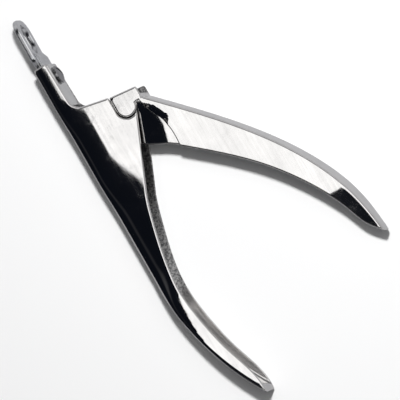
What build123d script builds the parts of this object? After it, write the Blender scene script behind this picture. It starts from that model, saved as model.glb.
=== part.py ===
"""Guillotine pet nail trimmer: a folded steel body, a lever that pushes a blade across a ring."""

import os
from math import atan2, cos, degrees, radians, sin, tan

from build123d import *

# Frame: +X is the blade's line of travel, from the nail ring towards the handle tips.  +Y goes
# from the back of the body towards the lever.  +Z is the pivot axis, up from the cheek that the
# tool lies on.  The origin is on that cheek, under the drive pin's line and abreast of the pivot.

# Body and fixed handle, folded from one sheet
BODY_WIDTH = 13.0
BODY_SHEET = 1.0
BODY_CORNER = 2.4
BACK_Y = -3.8
HEAD_END_X = -24.2
HEAD_EDGE_Y = 0.6
HANDLE_BEND_X = 50.0
HANDLE_TIP = (97.2, 10.0)
FOLD_LEG = 26.0
BEND_OVERRUN = 3.0
PALM_EDGE = [(91.0, 9.6), (80.0, 6.1), (68.0, 3.2), (57.0, 1.9), (46.0, 3.0), (34.0, 5.8), (25.0, 8.8)]
NOTCH_LIP = 45.0
STOP_LIP = (-5.2, 12.5)
FRONT_FOOT = (-6.9, 4.6)
THROAT_END = (-10.4, 1.1)

# Lever and its bearing in the open notches of the body
PIVOT_Y = 16.0
SWING = 36.0
NOTCH_RADIUS = 3.5
BOSS_RADIUS = 3.2
BOSS_FOOT = (-5.0, 12.8)
BOSS_ARC_END = 84.0
BOSS_SHOULDER = (0.2, 20.4)
BOSS_RECESS = 0.05
LEVER_SHEET = 1.2
LEVER_GAP = 0.15
LEVER_FRONT = (-4.0, 21.8)
LEVER_TIP = (72.8, 66.4)
LEVER_SPINE_START = (-0.4, 21.9)
LEVER_SPINE = [(8.9, 31.0), (23.6, 44.3), (40.4, 56.3), (60.4, 64.6)]
LEVER_UNDERSIDE = [(68.4, 62.8), (61.9, 60.2), (48.1, 53.0), (36.5, 44.0), (26.1, 33.2)]
STEP_REAR = (18.7, 24.5)
STEP_EDGE = [(12.0, 24.4), (8.2, 23.2), (4.2, 21.3)]
LEVER_HEEL = (16.2, 21.3)
ARM_REAR_TOP = (19.0, 25.4)
ARM_TOP = [(12.0, 26.0), (8.2, 24.9), (4.2, 22.9), (0.2, 21.6)]
ARM_FRONT_TOP = (-4.1, 20.9)
ARM_REAR = (13.6, 16.0)
ARM_FRONT = (-4.6, 11.0)
ARM_SHOULDER = 11.5
FORK_REACH = 17.6
FORK_HALF = 2.65
FORK_ROUND = 15.85

# Drive pin, slide and blade
PIN_RADIUS = 1.0
PIN_END_GAP = 0.1
SLOT_GAP = 0.15
SLIDE_WIDTH = 8.0
SLIDE_FRONT_X = -7.5
SLIDE_REAR_X = 8.0
SLIDE_BACK_GAP = 0.1
EAR_HALF = 2.6
EAR_SHEET = 1.0
EAR_TOP_Y = 1.9
EAR_ROUND = 1.2
SLIDE_CORNER = 0.6
WINDOW_FRONT_X = 3.0
WINDOW_WIDTH = 1.6
PIN_CHAMFER = 0.15
BLADE_THICK = 0.9
BLADE_WIDTH = 10.4
BLADE_EDGE_X = -29.0
BLADE_REAR_X = -3.2
BLADE_BEVEL = 1.8
BLADE_EDGE_LAND = 0.12
BLADE_SCREW_X = -5.5
BLADE_SCREW_HEAD = 1.9
BLADE_SCREW_SHANK = 1.0
BLADE_SCREW_SLOT = 0.6
BLADE_SCREW_SLOT_DEPTH = 0.5

# Nail ring
RING_THICK = 1.7
RING_TIP_X = -41.0
RING_OUTER = 6.3
RING_CORNER = 4.6
RING_HOLE_HALF = 4.2
RING_HOLE_FRONT_X = -39.2
RING_HOLE_REAR_X = -29.3
RING_SHANK_WIDTH = 9.8
RING_SHANK_CHAMFER = 0.9
RING_REAR_X = -18.3
RING_SHOULDER_X = -24.6
RING_NECK_X = -27.0
RIVET_X = -22.2
RIVET_SPACING = 6.2
RIVET_RADIUS = 0.9

# Cover plate, its screw and the post that the screw enters
COVER_BACK_Y = -0.05
COVER_THICK = 1.0
COVER_REAR_X = -9.2
COVER_SIDE_GAP = 0.2
COVER_CORNER = 0.8
COVER_CHAMFER = 0.2
COVER_SCREW_X = -20.0
POST_RADIUS = 1.5
POST_TENON = 1.4
POST_BORE = 0.9
POST_BORE_END_Y = -3.0
SCREW_RADIUS = 0.85
SCREW_END_Y = -2.8
SCREW_HOLE = 1.0
SCREW_HEAD_RADIUS = 3.0
SCREW_HEAD_HEIGHT = 1.2
SCREW_HEAD_RIM = 0.3
DRIVER_SLOT = 0.8
DRIVER_ANGLE = 35.0
DRIVER_DEPTH = 0.65
WASHER_OUTER = 2.2
WASHER_THICK = 0.35
WASHER_SPLIT = 0.5

# Return spring and the stud that anchors it
WIRE_RADIUS = 0.25
COIL_RADIUS = 1.75
COIL_START_X = 11.0
COIL_PITCH = 0.9
COIL_TURNS = 16
STUD_X = 34.0
STUD_TENON = 0.9
STUD_COLLAR = 1.5
STUD_NECK = 0.8
STUD_NECK_HALF = 0.4
STUD_HEAD = 1.3
STUD_TOP_Y = 1.2
LOOP_GAP = 0.1
LOOP_START = 90.0
LOOP_TURN = 300.0

# Sizes that follow from those above
MID_Z = BODY_WIDTH / 2
FLOOR_Y = BACK_Y + BODY_SHEET
HALF_SWING = radians(SWING / 2)
PIN_X = PIVOT_Y * tan(HALF_SWING)
LEVER_Z = BODY_SHEET + LEVER_GAP
RING_FACE_Y = FLOOR_Y + RING_THICK
BLADE_BACK_Y = RING_FACE_Y + 0.05
BLADE_FACE_Y = BLADE_BACK_Y + BLADE_THICK
COVER_FACE_Y = COVER_BACK_Y + COVER_THICK
BLADE_STROKE = 2 * PIN_X


def facing_y(x, y, z=MID_Z):
    """Plane at a point of the channel, its normal along +Y and its own x along +X."""
    return Plane(origin=(x, y, z), x_dir=(1, 0, 0), z_dir=(0, 1, 0))


def finish(builder, name):
    """Label one finished piece and write its STEP file."""
    builder.part.label = name
    export_step(builder.part, f"parts/{name}.step")


os.makedirs("parts", exist_ok=True)

# ---- Body shell: a U-bar, straight and then bent, trimmed to the side outline ----
bend_rise = HANDLE_TIP[1] - BACK_Y
bend_run = HANDLE_TIP[0] - HANDLE_BEND_X
bend_radius = (bend_run**2 + bend_rise**2) / (2 * bend_rise)
bend_angle = degrees(atan2(bend_run, bend_radius - bend_rise))
bend_axis = Axis((HANDLE_BEND_X, BACK_Y + bend_radius, 0), (0, 0, 1))


def bar_section(x, back_y, width, corner):
    """Section across the body at x: a deep bar whose two back corners are rounded."""
    middle = (x, back_y + FOLD_LEG / 2, MID_Z)
    with BuildSketch(Plane(origin=middle, x_dir=(0, 1, 0), z_dir=(1, 0, 0))) as section:
        Rectangle(FOLD_LEG, width)
        back_corners = section.vertices().group_by(Axis.Y)[0]
        fillet(back_corners, corner)
    return section.sketch


def notch_point(angle):
    """Point of the round notch at an angle in degrees about the pivot."""
    turn = radians(angle)
    return (NOTCH_RADIUS * cos(turn), PIVOT_Y + NOTCH_RADIUS * sin(turn))


outside = (BACK_Y, BODY_WIDTH, BODY_CORNER, Mode.ADD)
inside = (FLOOR_Y, BODY_WIDTH - 2 * BODY_SHEET, BODY_CORNER - BODY_SHEET, Mode.SUBTRACT)
with BuildPart() as fixed_handle:
    for back_y, width, corner, mode in (outside, inside):
        extrude(
            bar_section(HEAD_END_X, back_y, width, corner),
            amount=HANDLE_BEND_X - HEAD_END_X,
            dir=(1, 0, 0),
            mode=mode,
        )
        revolve(
            bar_section(HANDLE_BEND_X, back_y, width, corner),
            axis=bend_axis,
            revolution_arc=bend_angle + BEND_OVERRUN,
            mode=mode,
        )
    with BuildSketch(Plane.XY):
        with BuildLine():
            back = Line((HEAD_END_X, BACK_Y), (HANDLE_BEND_X, BACK_Y))
            outer_bend = TangentArc(back @ 1, HANDLE_TIP, tangent=back % 1)
            palm_edge = Spline(outer_bend @ 1, *PALM_EDGE, tangents=[(-1, 0.12), (-1, 0.47)])
            lip = Line(palm_edge @ 1, notch_point(NOTCH_LIP))
            round_end = ThreePointArc(lip @ 1, notch_point(-NOTCH_LIP / 2), notch_point(-90))
            stop_edge = Line(round_end @ 1, STOP_LIP)
            front_edge = Line(stop_edge @ 1, FRONT_FOOT)
            throat = TangentArc(front_edge @ 1, THROAT_END, tangent=front_edge % 1)
            head_edge = Line(throat @ 1, (HEAD_END_X, HEAD_EDGE_Y))
            Line(head_edge @ 1, back @ 0)
        make_face()
    extrude(amount=BODY_WIDTH, mode=Mode.INTERSECT)
    with Locations(facing_y(COVER_SCREW_X, BACK_Y)):
        Hole(POST_TENON)
    for side in (-1, 1):
        with Locations(facing_y(RIVET_X, BACK_Y, MID_Z + side * RIVET_SPACING / 2)):
            Hole(RIVET_RADIUS)
    with Locations(facing_y(STUD_X, BACK_Y)):
        Hole(STUD_TENON)
finish(fixed_handle, "fixed_handle")

# ---- Nail ring: a flat plate with the nail hole, its shank held in the head's channel ----
with BuildPart() as nail_ring:
    with BuildSketch(facing_y(0, FLOOR_Y)) as ring_outline:
        with BuildLine():
            Polyline(
                (RING_TIP_X, -RING_OUTER),
                (RING_NECK_X, -RING_OUTER),
                (RING_SHOULDER_X, -RING_SHANK_WIDTH / 2),
                (RING_REAR_X, -RING_SHANK_WIDTH / 2),
                (RING_REAR_X, RING_SHANK_WIDTH / 2),
                (RING_SHOULDER_X, RING_SHANK_WIDTH / 2),
                (RING_NECK_X, RING_OUTER),
                (RING_TIP_X, RING_OUTER),
                close=True,
            )
        make_face()
        fillet(ring_outline.vertices().group_by(Axis.X)[0], RING_CORNER)
        hole_length = RING_HOLE_REAR_X - RING_HOLE_FRONT_X
        with Locations((RING_HOLE_FRONT_X + hole_length / 2, 0)):
            SlotOverall(hole_length, 2 * RING_HOLE_HALF, mode=Mode.SUBTRACT)
    extrude(amount=RING_THICK)
    back_edges = nail_ring.faces().sort_by(Axis.Y)[0].outer_wire().edges()
    chamfer(back_edges.filter_by_position(Axis.X, RING_SHOULDER_X, RING_REAR_X), RING_SHANK_CHAMFER)
    with Locations(facing_y(COVER_SCREW_X, FLOOR_Y)):
        Hole(POST_TENON)
    for side in (-1, 1):
        with Locations(facing_y(RIVET_X, FLOOR_Y, MID_Z + side * RIVET_SPACING / 2)):
            Hole(RIVET_RADIUS)
finish(nail_ring, "nail_ring")

# ---- Flush rivets through the ring's shank and the back of the body ----
with BuildPart() as ring_rivets:
    for side in (-1, 1):
        with BuildSketch(facing_y(RIVET_X, BACK_Y, MID_Z + side * RIVET_SPACING / 2)):
            Circle(RIVET_RADIUS)
        extrude(amount=RING_FACE_Y - BACK_Y)
finish(ring_rivets, "ring_rivets")

# ---- Post: riveted through ring and back, tapped for the cover screw ----
with BuildPart() as screw_post:
    with BuildSketch(facing_y(COVER_SCREW_X, BACK_Y)):
        Circle(POST_TENON)
    extrude(amount=RING_FACE_Y - BACK_Y)
    with BuildSketch(facing_y(COVER_SCREW_X, RING_FACE_Y)):
        Circle(POST_RADIUS)
    extrude(amount=COVER_BACK_Y - RING_FACE_Y)
    with BuildSketch(facing_y(COVER_SCREW_X, POST_BORE_END_Y)):
        Circle(POST_BORE)
    extrude(amount=COVER_BACK_Y - POST_BORE_END_Y, mode=Mode.SUBTRACT)
finish(screw_post, "screw_post")

# ---- Cover plate between the cheeks of the head ----
cover_width = BODY_WIDTH - 2 * BODY_SHEET - 2 * COVER_SIDE_GAP
cover_length = COVER_REAR_X - HEAD_END_X
with BuildPart() as cover_plate:
    with BuildSketch(facing_y(HEAD_END_X + cover_length / 2, COVER_BACK_Y)):
        RectangleRounded(cover_length, cover_width, COVER_CORNER)
    extrude(amount=COVER_THICK)
    chamfer(cover_plate.faces().sort_by(Axis.Y)[-1].edges(), COVER_CHAMFER)
    with Locations(facing_y(COVER_SCREW_X, COVER_FACE_Y)):
        Hole(SCREW_HOLE)
finish(cover_plate, "cover_plate")

# ---- Split lock washer under the cover screw ----
with BuildPart() as lock_washer:
    with BuildSketch(facing_y(COVER_SCREW_X, COVER_FACE_Y)):
        Circle(WASHER_OUTER)
        Circle(SCREW_HOLE, mode=Mode.SUBTRACT)
        with Locations((-WASHER_OUTER, 0)):
            Rectangle(2 * WASHER_OUTER, WASHER_SPLIT, mode=Mode.SUBTRACT)
    extrude(amount=WASHER_THICK)
finish(lock_washer, "lock_washer")

# ---- Cover screw: domed head with a driver slot ----
head_base_y = COVER_FACE_Y + WASHER_THICK
with BuildPart() as cover_screw:
    with BuildSketch(facing_y(COVER_SCREW_X, SCREW_END_Y)):
        Circle(SCREW_RADIUS)
    extrude(amount=head_base_y - SCREW_END_Y)
    with BuildSketch(Plane(origin=(COVER_SCREW_X, head_base_y, MID_Z), x_dir=(1, 0, 0), z_dir=(0, 0, 1))):
        with BuildLine():
            rim = Polyline((0, 0), (SCREW_HEAD_RADIUS, 0), (SCREW_HEAD_RADIUS, SCREW_HEAD_RIM))
            TangentArc((0, SCREW_HEAD_HEIGHT), rim @ 1, tangent=(1, 0))
            Line((0, SCREW_HEAD_HEIGHT), rim @ 0)
        make_face()
    revolve(axis=Axis((COVER_SCREW_X, 0, MID_Z), (0, 1, 0)))
    with BuildSketch(facing_y(COVER_SCREW_X, head_base_y + SCREW_HEAD_HEIGHT)):
        Rectangle(3 * SCREW_HEAD_RADIUS, DRIVER_SLOT, rotation=DRIVER_ANGLE)
    extrude(amount=-DRIVER_DEPTH, mode=Mode.SUBTRACT)
finish(cover_screw, "cover_screw")

# ---- Blade: slotted strip, its front edge ground to a bevel ----
with BuildPart() as blade:
    with BuildSketch(facing_y((BLADE_EDGE_X + BLADE_REAR_X) / 2, BLADE_BACK_Y)):
        Rectangle(BLADE_REAR_X - BLADE_EDGE_X, BLADE_WIDTH)
    extrude(amount=BLADE_THICK)
    edge_line = blade.faces().sort_by(Axis.Y)[-1].edges().sort_by(Axis.X)[0]
    bevel_drop = BLADE_THICK - BLADE_EDGE_LAND
    chamfer(edge_line, bevel_drop, BLADE_BEVEL, reference=blade.faces().sort_by(Axis.X)[0])
    slot_half = POST_RADIUS + SLOT_GAP
    slot_length = BLADE_STROKE + 2 * slot_half
    slot_middle = COVER_SCREW_X + BLADE_STROKE / 2
    with BuildSketch(facing_y(slot_middle, BLADE_BACK_Y)):
        SlotOverall(slot_length, 2 * slot_half)
    extrude(amount=BLADE_THICK, mode=Mode.SUBTRACT)
    with Locations(facing_y(BLADE_SCREW_X, BLADE_FACE_Y)):
        CounterSinkHole(BLADE_SCREW_SHANK, BLADE_SCREW_HEAD, counter_sink_angle=90)
finish(blade, "blade")

# ---- Blade screw: countersunk, its head flush with the blade ----
slide_back_y = FLOOR_Y + SLIDE_BACK_GAP
with BuildPart() as blade_screw:
    with BuildSketch(facing_y(BLADE_SCREW_X, BLADE_FACE_Y)):
        Circle(BLADE_SCREW_HEAD)
    extrude(amount=-(BLADE_SCREW_HEAD - BLADE_SCREW_SHANK), taper=45)
    with BuildSketch(facing_y(BLADE_SCREW_X, slide_back_y)):
        Circle(BLADE_SCREW_SHANK)
    extrude(amount=BLADE_FACE_Y - slide_back_y)
    with BuildSketch(facing_y(BLADE_SCREW_X, BLADE_FACE_Y)):
        Rectangle(3 * BLADE_SCREW_HEAD, BLADE_SCREW_SLOT)
    extrude(amount=-BLADE_SCREW_SLOT_DEPTH, mode=Mode.SUBTRACT)
finish(blade_screw, "blade_screw")

# ---- Slide: flat base on the channel floor, two ears that hold the drive pin ----
with BuildPart() as blade_slide:
    with BuildSketch(facing_y((SLIDE_FRONT_X + SLIDE_REAR_X) / 2, slide_back_y)):
        RectangleRounded(SLIDE_REAR_X - SLIDE_FRONT_X, SLIDE_WIDTH, SLIDE_CORNER)
        with Locations((SLIDE_REAR_X - (SLIDE_FRONT_X + SLIDE_REAR_X) / 2, 0)):
            SlotOverall(2 * (SLIDE_REAR_X - WINDOW_FRONT_X), WINDOW_WIDTH, mode=Mode.SUBTRACT)
    extrude(amount=BLADE_BACK_Y - slide_back_y)
    for low_z in (MID_Z - SLIDE_WIDTH / 2, MID_Z + SLIDE_WIDTH / 2 - EAR_SHEET):
        with BuildSketch(Plane.XY.offset(low_z)):
            with Locations((PIN_X, (slide_back_y + EAR_TOP_Y) / 2)):
                ear = Rectangle(2 * EAR_HALF, EAR_TOP_Y - slide_back_y)
            fillet(ear.vertices().group_by(Axis.Y)[-1], EAR_ROUND)
        extrude(amount=EAR_SHEET)
    with Locations(Plane(origin=(PIN_X, 0, MID_Z), z_dir=(0, 0, 1))):
        Hole(PIN_RADIUS)
    with Locations(facing_y(BLADE_SCREW_X, BLADE_BACK_Y)):
        Hole(BLADE_SCREW_SHANK)
finish(blade_slide, "blade_slide")

# ---- Drive pin across the slide's ears, its ends in the forks of the lever ----
pin_end_z = BODY_SHEET + PIN_END_GAP
with BuildPart() as drive_pin:
    with BuildSketch(Plane.XY.offset(pin_end_z)):
        with Locations((PIN_X, 0)):
            Circle(PIN_RADIUS)
    extrude(amount=BODY_WIDTH - 2 * pin_end_z)
    chamfer(drive_pin.edges().filter_by(GeomType.CIRCLE), PIN_CHAMFER)
finish(drive_pin, "drive_pin")

# ---- Lever: a channel as wide as the body, stepped in to two forked arms that fit inside it ----
fork_line = Plane(
    origin=(0, PIVOT_Y, 0),
    x_dir=(cos(HALF_SWING), sin(HALF_SWING), 0),
    z_dir=(0, 0, 1),
)


def on_arm(across, down):
    """Point of the lever's arm, from the pivot: across the arm and down along it."""
    point = fork_line.from_local_coords((across, -down, 0))
    return (point.X, point.Y)


def grip_outline(under_spine):
    """Side outline of the lever's wide stretch with its bosses, or of the hollow under its spine."""
    with BuildSketch() as outline:
        with BuildLine():
            spine = Spline(LEVER_SPINE_START, *LEVER_SPINE, LEVER_TIP)
            under = Spline(LEVER_TIP, *LEVER_UNDERSIDE, STEP_REAR)
            step_edge = Spline(under @ 1, *STEP_EDGE, BOSS_SHOULDER)
            bearing_end = Line(step_edge @ 1, boss_arc_end)
            bearing = ThreePointArc(bearing_end @ 1, (BOSS_RADIUS, PIVOT_Y), (0, PIVOT_Y - BOSS_RADIUS))
            Polyline(bearing @ 1, BOSS_FOOT, LEVER_FRONT, spine @ 0)
        make_face()
        if under_spine:
            trace(spine, 2 * LEVER_SHEET, mode=Mode.SUBTRACT)
    return outline.sketch


def arm_outline():
    """Side outline of one arm, from under the step down to the open fork round the drive pin."""
    fork_half = PIN_RADIUS + SLOT_GAP
    with BuildSketch(fork_line) as fork_slot:
        slot_reach = FORK_REACH - FORK_ROUND + 1
        with Locations((0, -FORK_ROUND)):
            Circle(fork_half)
        with Locations((0, -FORK_ROUND - slot_reach / 2)):
            Rectangle(2 * fork_half, slot_reach)
    with BuildSketch() as outline:
        with BuildLine():
            overlap = Spline(ARM_REAR_TOP, *ARM_TOP, ARM_FRONT_TOP)
            Polyline(
                overlap @ 1,
                ARM_FRONT,
                on_arm(-FORK_HALF, ARM_SHOULDER),
                on_arm(-FORK_HALF, FORK_REACH),
                on_arm(FORK_HALF, FORK_REACH),
                on_arm(FORK_HALF, ARM_SHOULDER),
                ARM_REAR,
                LEVER_HEEL,
                overlap @ 0,
            )
        make_face()
        add(fork_slot.sketch, mode=Mode.SUBTRACT)
    return outline.sketch


boss_top = radians(BOSS_ARC_END)
boss_arc_end = (BOSS_RADIUS * cos(boss_top), PIVOT_Y + BOSS_RADIUS * sin(boss_top))
grip_width = BODY_WIDTH - 2 * BOSS_RECESS
hollow_width = grip_width - 2 * LEVER_SHEET
with BuildPart() as moving_handle:
    extrude(grip_outline(False).moved(Location((0, 0, BOSS_RECESS))), amount=grip_width)
    hollow = grip_outline(True).moved(Location((0, 0, BOSS_RECESS + LEVER_SHEET)))
    extrude(hollow, amount=hollow_width, mode=Mode.SUBTRACT)
    for low_z in (LEVER_Z, BODY_WIDTH - LEVER_Z - LEVER_SHEET):
        extrude(arm_outline().moved(Location((0, 0, low_z))), amount=LEVER_SHEET)
finish(moving_handle, "moving_handle")

# ---- Spring stud on the body's back ----
stud_profile = [
    (0, BACK_Y),
    (STUD_TENON, BACK_Y),
    (STUD_TENON, FLOOR_Y),
    (STUD_COLLAR, FLOOR_Y),
    (STUD_COLLAR, -STUD_NECK_HALF),
    (STUD_NECK, -STUD_NECK_HALF),
    (STUD_NECK, STUD_NECK_HALF),
    (STUD_HEAD, STUD_NECK_HALF),
    (STUD_HEAD, STUD_TOP_Y),
    (0, STUD_TOP_Y),
]
with BuildPart() as spring_stud:
    with BuildSketch(Plane(origin=(STUD_X, 0, MID_Z), x_dir=(1, 0, 0), z_dir=(0, 0, 1))):
        with BuildLine():
            Polyline(*stud_profile, close=True)
        make_face()
    revolve(axis=Axis((STUD_X, 0, MID_Z), (0, 1, 0)))
finish(spring_stud, "spring_stud")

# ---- Return spring: one wire, a loop round the drive pin, the coil and a loop round the stud ----
pin_loop = PIN_RADIUS + LOOP_GAP + WIRE_RADIUS
stud_loop = STUD_NECK + LOOP_GAP + WIRE_RADIUS
loop_angles = (LOOP_START, LOOP_START + LOOP_TURN / 2, LOOP_START + LOOP_TURN)


def pin_loop_point(angle):
    """Point of the loop that lies flat round the drive pin."""
    turn = radians(angle)
    return (PIN_X + pin_loop * cos(turn), pin_loop * sin(turn), MID_Z)


def stud_loop_point(angle):
    """Point of the loop that lies across the body round the stud's neck."""
    turn = radians(angle)
    return (STUD_X - stud_loop * cos(turn), 0, MID_Z + stud_loop * sin(turn))


with BuildLine() as wire_path:
    pin_arc = ThreePointArc(*[pin_loop_point(angle) for angle in reversed(loop_angles)])
    turns = Helix(
        COIL_PITCH,
        COIL_PITCH * COIL_TURNS,
        COIL_RADIUS,
        center=(COIL_START_X, 0, MID_Z),
        direction=(1, 0, 0),
    )
    Spline(pin_arc @ 1, turns @ 0, tangents=[pin_arc % 1, turns % 0])
    stud_arc = ThreePointArc(*[stud_loop_point(angle) for angle in loop_angles])
    Spline(turns @ 1, stud_arc @ 0, tangents=[turns % 1, stud_arc % 0])
with BuildPart() as return_spring:
    with BuildSketch(Plane(origin=pin_arc @ 0, z_dir=pin_arc % 0)):
        Circle(WIRE_RADIUS)
    sweep(path=wire_path.wires()[0])
finish(return_spring, "return_spring")
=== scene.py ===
"""Looks of the guillotine nail trimmer: plated sheet shells, ring, cover, screw, spring and studio."""

import math

import bpy
import numpy as np
from mathutils import Matrix, Vector
from mathutils.geometry import delaunay_2d_cdt


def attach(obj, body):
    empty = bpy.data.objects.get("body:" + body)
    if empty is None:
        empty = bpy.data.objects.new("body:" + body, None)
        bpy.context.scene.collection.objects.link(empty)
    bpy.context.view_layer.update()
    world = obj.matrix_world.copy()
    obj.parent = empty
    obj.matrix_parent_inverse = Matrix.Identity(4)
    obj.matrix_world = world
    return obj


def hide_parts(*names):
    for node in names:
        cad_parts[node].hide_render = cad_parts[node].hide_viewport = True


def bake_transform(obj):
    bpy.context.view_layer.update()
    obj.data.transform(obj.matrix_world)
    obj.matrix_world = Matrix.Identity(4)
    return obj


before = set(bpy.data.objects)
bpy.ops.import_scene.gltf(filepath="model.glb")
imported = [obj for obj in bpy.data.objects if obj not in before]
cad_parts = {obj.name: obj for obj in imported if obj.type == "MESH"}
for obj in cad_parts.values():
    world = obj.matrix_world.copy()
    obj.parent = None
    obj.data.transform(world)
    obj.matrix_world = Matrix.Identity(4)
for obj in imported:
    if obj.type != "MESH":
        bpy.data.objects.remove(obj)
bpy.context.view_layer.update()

MM = 0.001
MIDDLE = 6.5            # height of the tool's middle plane over the floor, in mm
PIVOT = (0.0, 16.0)


# ---------------------------------------------------------------- curves in the tool's side plane, in mm

def dense(points, step, least=0.03):
    """The polyline with no run longer than step, and none shorter than least."""
    result = [points[0]]
    for b in points[1:]:
        a = result[-1]
        if math.dist(a, b) < least:
            continue
        count = max(1, math.ceil(math.dist(a, b) / step))
        for k in range(1, count + 1):
            t = k / count
            result.append((a[0] + (b[0] - a[0]) * t, a[1] + (b[1] - a[1]) * t))
    return result


def arc(centre, radius, start, end, step=4.0):
    """Points on a circle from one angle to another, in degrees."""
    count = max(2, math.ceil(abs(end - start) / step))
    angles = np.radians(np.linspace(start, end, count + 1))
    return [(centre[0] + radius * math.cos(a), centre[1] + radius * math.sin(a)) for a in angles]


def tangent_arc(start, direction, end, count=14):
    """Arc that leaves start along a direction and reaches end."""
    length = math.hypot(*direction)
    along = (direction[0] / length, direction[1] / length)
    chord = (end[0] - start[0], end[1] - start[1])
    forward = chord[0] * along[0] + chord[1] * along[1]
    side = -chord[0] * along[1] + chord[1] * along[0]
    turn = 2 * math.atan2(side, forward)
    radius = math.hypot(*chord) / (2 * math.sin(turn / 2))
    points = []
    for k in range(count + 1):
        a = turn * k / count
        ahead = radius * math.sin(a)
        across = radius * (1 - math.cos(a))
        points.append((
            start[0] + along[0] * ahead - along[1] * across,
            start[1] + along[1] * ahead + along[0] * across,
        ))
    return points


def corner(before, at, after, radius, count=5):
    """Points that round a corner with a curve of about this radius."""
    def toward(target):
        gap = math.dist(at, target)
        reach = min(radius, gap / 2)
        return (at[0] + (target[0] - at[0]) * reach / gap, at[1] + (target[1] - at[1]) * reach / gap)
    a, b = toward(before), toward(after)
    points = []
    for k in range(count + 1):
        t = k / count
        points.append(tuple((1 - t) ** 2 * a[i] + 2 * t * (1 - t) * at[i] + t * t * b[i] for i in (0, 1)))
    return points


def smooth_curve(points, step=0.5, start=None, end=None):
    """Cubic spline through the points, natural or with given end directions."""
    p = np.array(points, float)
    gaps = np.linalg.norm(np.diff(p, axis=0), axis=1)
    n = len(p)
    system = np.zeros((n, n))
    wanted = np.zeros((n, 2))
    for i in range(1, n - 1):
        system[i, i - 1] = 1 / gaps[i - 1]
        system[i, i] = 2 / gaps[i - 1] + 2 / gaps[i]
        system[i, i + 1] = 1 / gaps[i]
        wanted[i] = 3 * ((p[i] - p[i - 1]) / gaps[i - 1] ** 2 + (p[i + 1] - p[i]) / gaps[i] ** 2)
    for row, neighbour, given, gap, rise in (
        (0, 1, start, gaps[0], p[1] - p[0]),
        (n - 1, n - 2, end, gaps[-1], p[-1] - p[-2]),
    ):
        system[row, row] = 1 if given else 2
        system[row, neighbour] = 0 if given else 1
        wanted[row] = np.array(given) / math.hypot(*given) if given else 3 * rise / gap
    slopes = np.linalg.solve(system, wanted)
    result = [tuple(p[0])]
    for i in range(n - 1):
        count = max(1, math.ceil(gaps[i] / step))
        for k in range(1, count + 1):
            t = k / count
            h = gaps[i]
            value = (
                (2 * t**3 - 3 * t**2 + 1) * p[i] + (t**3 - 2 * t**2 + t) * h * slopes[i]
                + (3 * t**2 - 2 * t**3) * p[i + 1] + (t**3 - t**2) * h * slopes[i + 1]
            )
            result.append(tuple(value))
    return result


def distance(points, line):
    """Distance of each point from a polyline."""
    p = np.asarray(points, float)[:, None, :]
    a = np.asarray(line[:-1], float)[None]
    b = np.asarray(line[1:], float)[None]
    run = b - a
    t = np.clip(((p - a) * run).sum(2) / np.maximum((run**2).sum(2), 1e-12), 0, 1)
    gap = np.linalg.norm(p - a - t[..., None] * run, axis=2)
    return gap.min(axis=1)


def inside(points, loop):
    """Which points lie inside a closed loop."""
    p = np.asarray(points, float)
    a = np.asarray(loop, float)
    b = np.roll(a, -1, axis=0)
    x, y = p[:, 0:1], p[:, 1:2]
    spans = (a[:, 1] > y) != (b[:, 1] > y)
    rise = np.where(b[:, 1] == a[:, 1], 1e-12, b[:, 1] - a[:, 1])
    meets = x < (b[:, 0] - a[:, 0]) * (y - a[:, 1]) / rise + a[:, 0]
    return (spans & meets).sum(axis=1) % 2 == 1


def normals_of(line):
    """Left-hand unit normal at each point of a polyline."""
    p = np.asarray(line, float)
    run = np.gradient(p, axis=0)
    run /= np.linalg.norm(run, axis=1)[:, None]
    return np.stack([-run[:, 1], run[:, 0]], axis=1)


def smoothstep(low, high, value):
    """0 up to low and 1 from high onwards, with a smooth rise between."""
    t = np.clip((value - low) / (high - low), 0, 1)
    return t * t * (3 - 2 * t)


def quarter(depth, reach):
    """Drop of a rounded edge of this reach: 1 at its rim and 0 from reach onwards."""
    inward = np.clip(1 - depth / reach, 0, 1)
    return 1 - np.sqrt(np.maximum(1 - inward**2, 0))


# ---------------------------------------------------------------- meshes from height fields

def mesh_region(loops, extra):
    """Triangles that fill a loop with holes and pass through extra points."""
    points, edges = [], []
    for loop in loops:
        first = len(points)
        points.extend(loop)
        edges.extend((first + k, first + (k + 1) % len(loop)) for k in range(len(loop)))
    fixed = len(points)
    points.extend(extra)
    vectors = [Vector(p) for p in points]
    found = delaunay_2d_cdt(vectors, edges, [], 1 if len(loops) == 1 else 2, 1e-5)
    flat, faces, origin = found[0], found[2], found[3]
    flat = np.array([tuple(v) for v in flat])
    at = {}
    for k, sources in enumerate(origin):
        for source in sources:
            if source < fixed:
                at[source] = k
    centres = np.array([flat[list(f)].mean(axis=0) for f in faces])
    keep = inside(centres, loops[0])
    for hole in loops[1:]:
        keep &= ~inside(centres, hole)
    faces = [f for f, k in zip(faces, keep) if k]
    used = sorted({v for f in faces for v in f})
    renumber = {v: k for k, v in enumerate(used)}
    faces = [tuple(renumber[v] for v in f) for f in faces]
    rim = [renumber[at[k]] for k in range(fixed)]
    return flat[used], faces, rim


def field_normals(points, height, step=0.01):
    """Upward normals of the surface z = height(x, y)."""
    p = np.asarray(points)
    shift_x, shift_y = np.array([step, 0]), np.array([0, step])
    slope_x = (height(p + shift_x) - height(p - shift_x)) / (2 * step)
    slope_y = (height(p + shift_y) - height(p - shift_y)) / (2 * step)
    n = np.stack([-slope_x, -slope_y, np.ones(len(p))], axis=1)
    return n / np.linalg.norm(n, axis=1)[:, None]


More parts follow.
